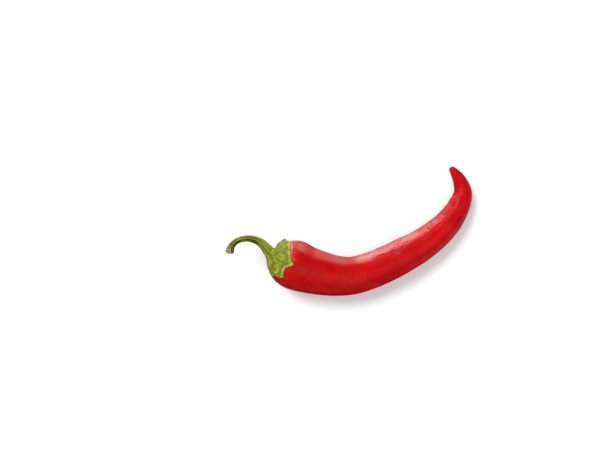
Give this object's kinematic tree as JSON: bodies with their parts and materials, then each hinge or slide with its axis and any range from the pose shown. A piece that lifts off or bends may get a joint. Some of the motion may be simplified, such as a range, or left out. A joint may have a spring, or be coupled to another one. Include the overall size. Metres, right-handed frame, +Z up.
{
  "type": "chilli pepper",
  "caption": "Fresh red chilli pepper lying on its side: a long glossy pod bent like a horn to a blunt point, with a green toothed calyx and a thin curved stalk",
  "frame": {"origin": "on the surface it lies on, under the middle of its bounding box", "axes": "+X along its length from the stalk towards the bend before the tip, +Y towards the inside of the bend, +Z up off the surface"},
  "size_m": [0.111, 0.0584, 0.0214],
  "materials": {
    "pod_skin": "smooth waxy red skin with a soft gloss and fine wrinkles",
    "calyx_green": "bumpy mottled yellow-green, satin",
    "stalk_green": "ribbed olive green, satin, dry and brown at the cut end"
  },
  "bodies": {
    "root": {"pod": "pod_skin", "calyx": "calyx_green", "stalk": "stalk_green"}
  },
  "joints": []
}
